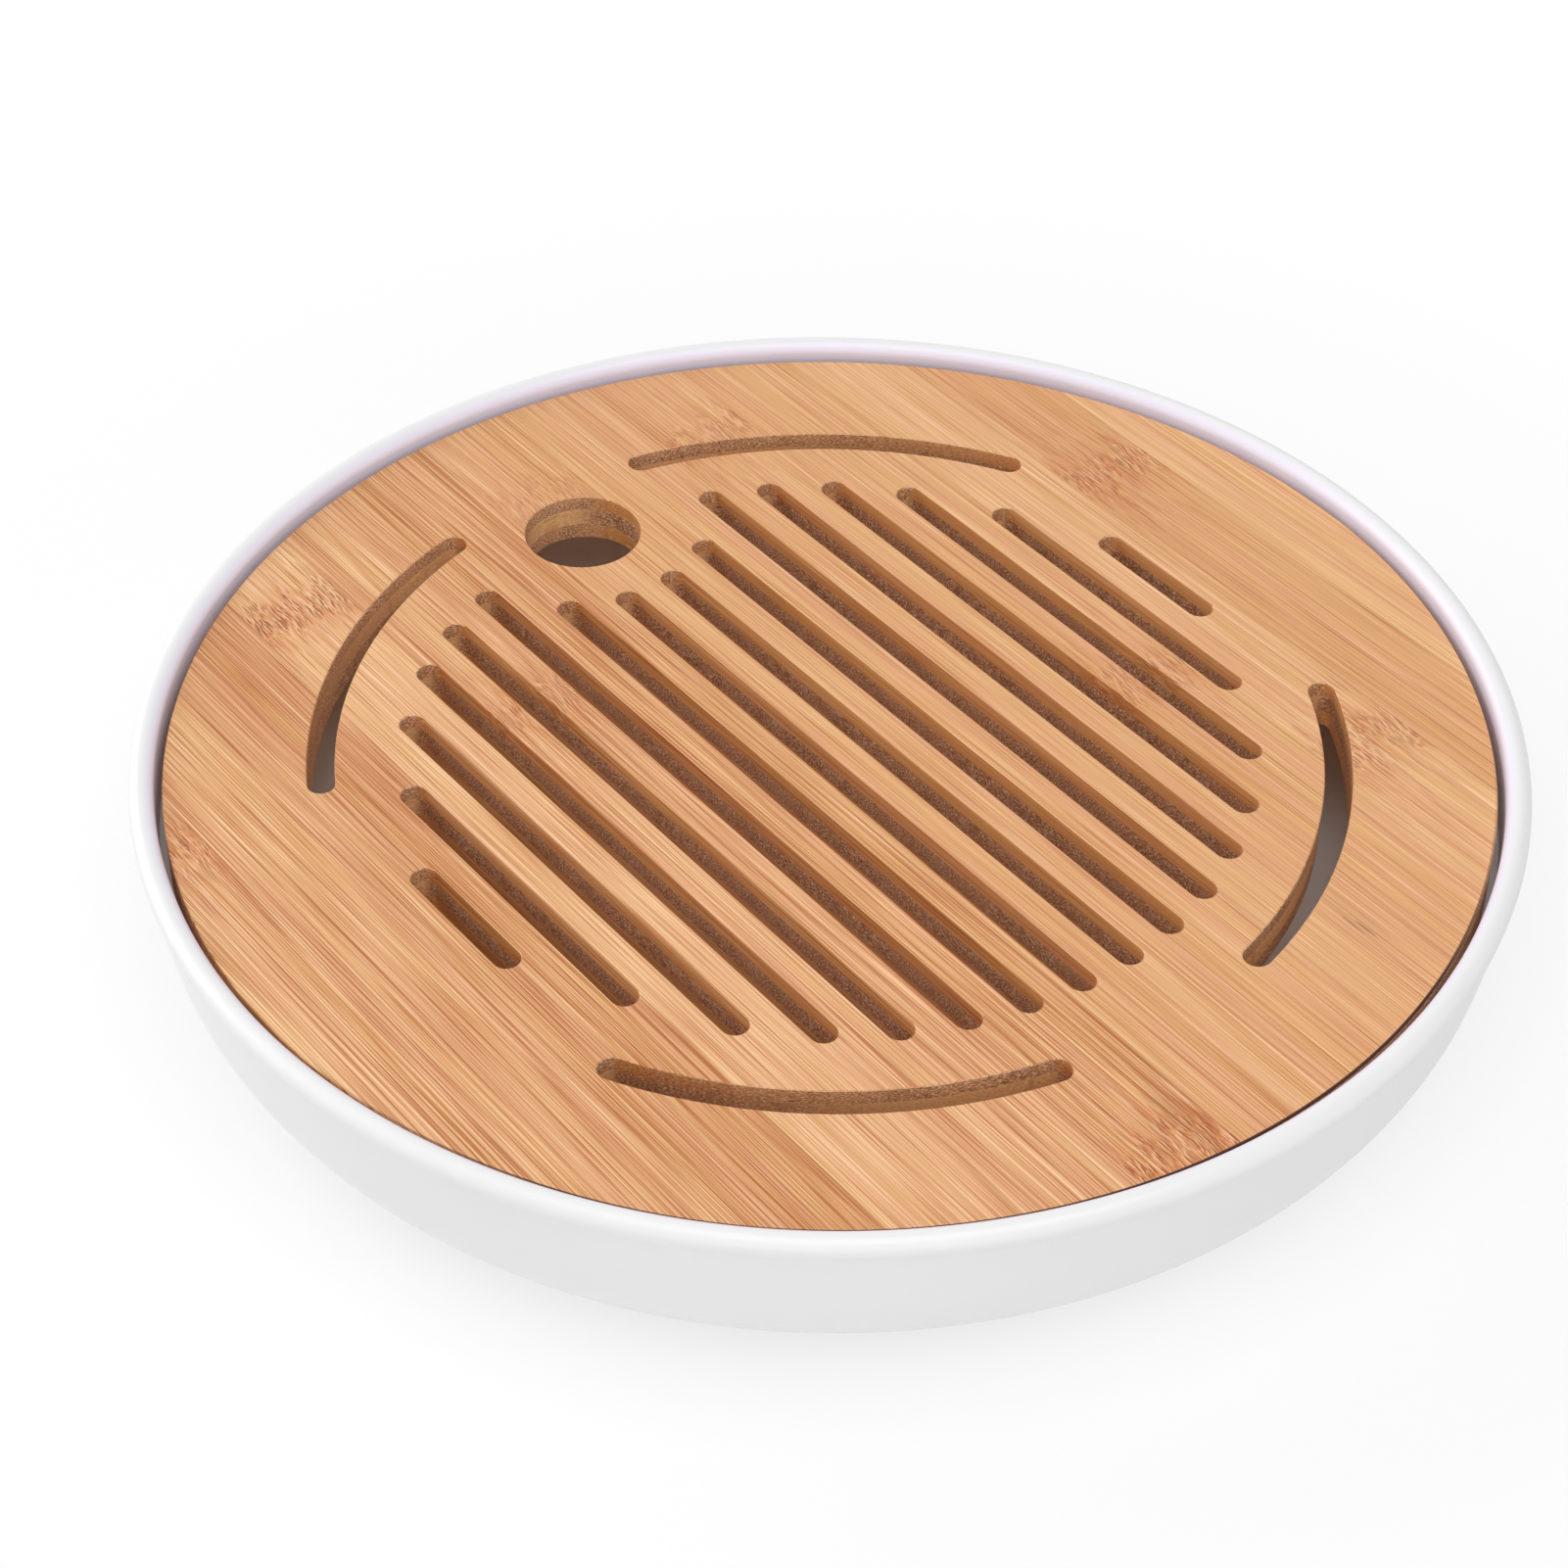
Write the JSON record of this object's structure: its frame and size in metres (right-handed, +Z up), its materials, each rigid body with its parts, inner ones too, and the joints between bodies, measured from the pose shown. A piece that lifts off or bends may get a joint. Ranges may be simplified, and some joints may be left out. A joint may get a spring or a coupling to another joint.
{
  "type": "gongfu tea tray",
  "caption": "Round tea tray: a glossy moulded basin with a beaded rim, and a slotted laminated bamboo drain panel that lifts out by a finger hole.",
  "frame": {"origin": "centre of the foot ring, on the surface that the tray stands on", "axes": "+Z up out of the basin; X along the straight slots, with the finger hole on the -X side"},
  "size_m": [0.28, 0.28, 0.045],
  "materials": {
    "basin_white": "smooth gloss",
    "bamboo_face": "sanded and oiled",
    "bamboo_core": "sawn end grain",
    "bamboo_back": "sanded and oiled"
  },
  "bodies": {
    "basin": {"basin": "basin_white"},
    "panel": {"face_strip_front_6": "bamboo_face", "face_strip_front_5": "bamboo_face", "face_strip_front_4": "bamboo_face", "face_strip_front_3": "bamboo_face", "face_strip_front_2": "bamboo_face", "face_strip_front_1": "bamboo_face", "face_strip_centre": "bamboo_face", "face_strip_rear_1": "bamboo_face", "face_strip_rear_2": "bamboo_face", "face_strip_rear_3": "bamboo_face", "face_strip_rear_4": "bamboo_face", "face_strip_rear_5": "bamboo_face", "face_strip_rear_6": "bamboo_face", "core_strip_left_6": "bamboo_core", "core_strip_left_5": "bamboo_core", "core_strip_left_4": "bamboo_core", "core_strip_left_3": "bamboo_core", "core_strip_left_2": "bamboo_core", "core_strip_left_1": "bamboo_core", "core_strip_centre": "bamboo_core", "core_strip_right_1": "bamboo_core", "core_strip_right_2": "bamboo_core", "core_strip_right_3": "bamboo_core", "core_strip_right_4": "bamboo_core", "core_strip_right_5": "bamboo_core", "core_strip_right_6": "bamboo_core", "back_strip_front_6": "bamboo_back", "back_strip_front_5": "bamboo_back", "back_strip_front_4": "bamboo_back", "back_strip_front_3": "bamboo_back", "back_strip_front_2": "bamboo_back", "back_strip_front_1": "bamboo_back", "back_strip_centre": "bamboo_back", "back_strip_rear_1": "bamboo_back", "back_strip_rear_2": "bamboo_back", "back_strip_rear_3": "bamboo_back", "back_strip_rear_4": "bamboo_back", "back_strip_rear_5": "bamboo_back", "back_strip_rear_6": "bamboo_back"}
  },
  "joints": [
    {"name": "panel_lift", "type": "slide", "parent": "basin", "child": "panel", "axis": [0, 0, 1], "range_m": [0, 0.08]}
  ]
}
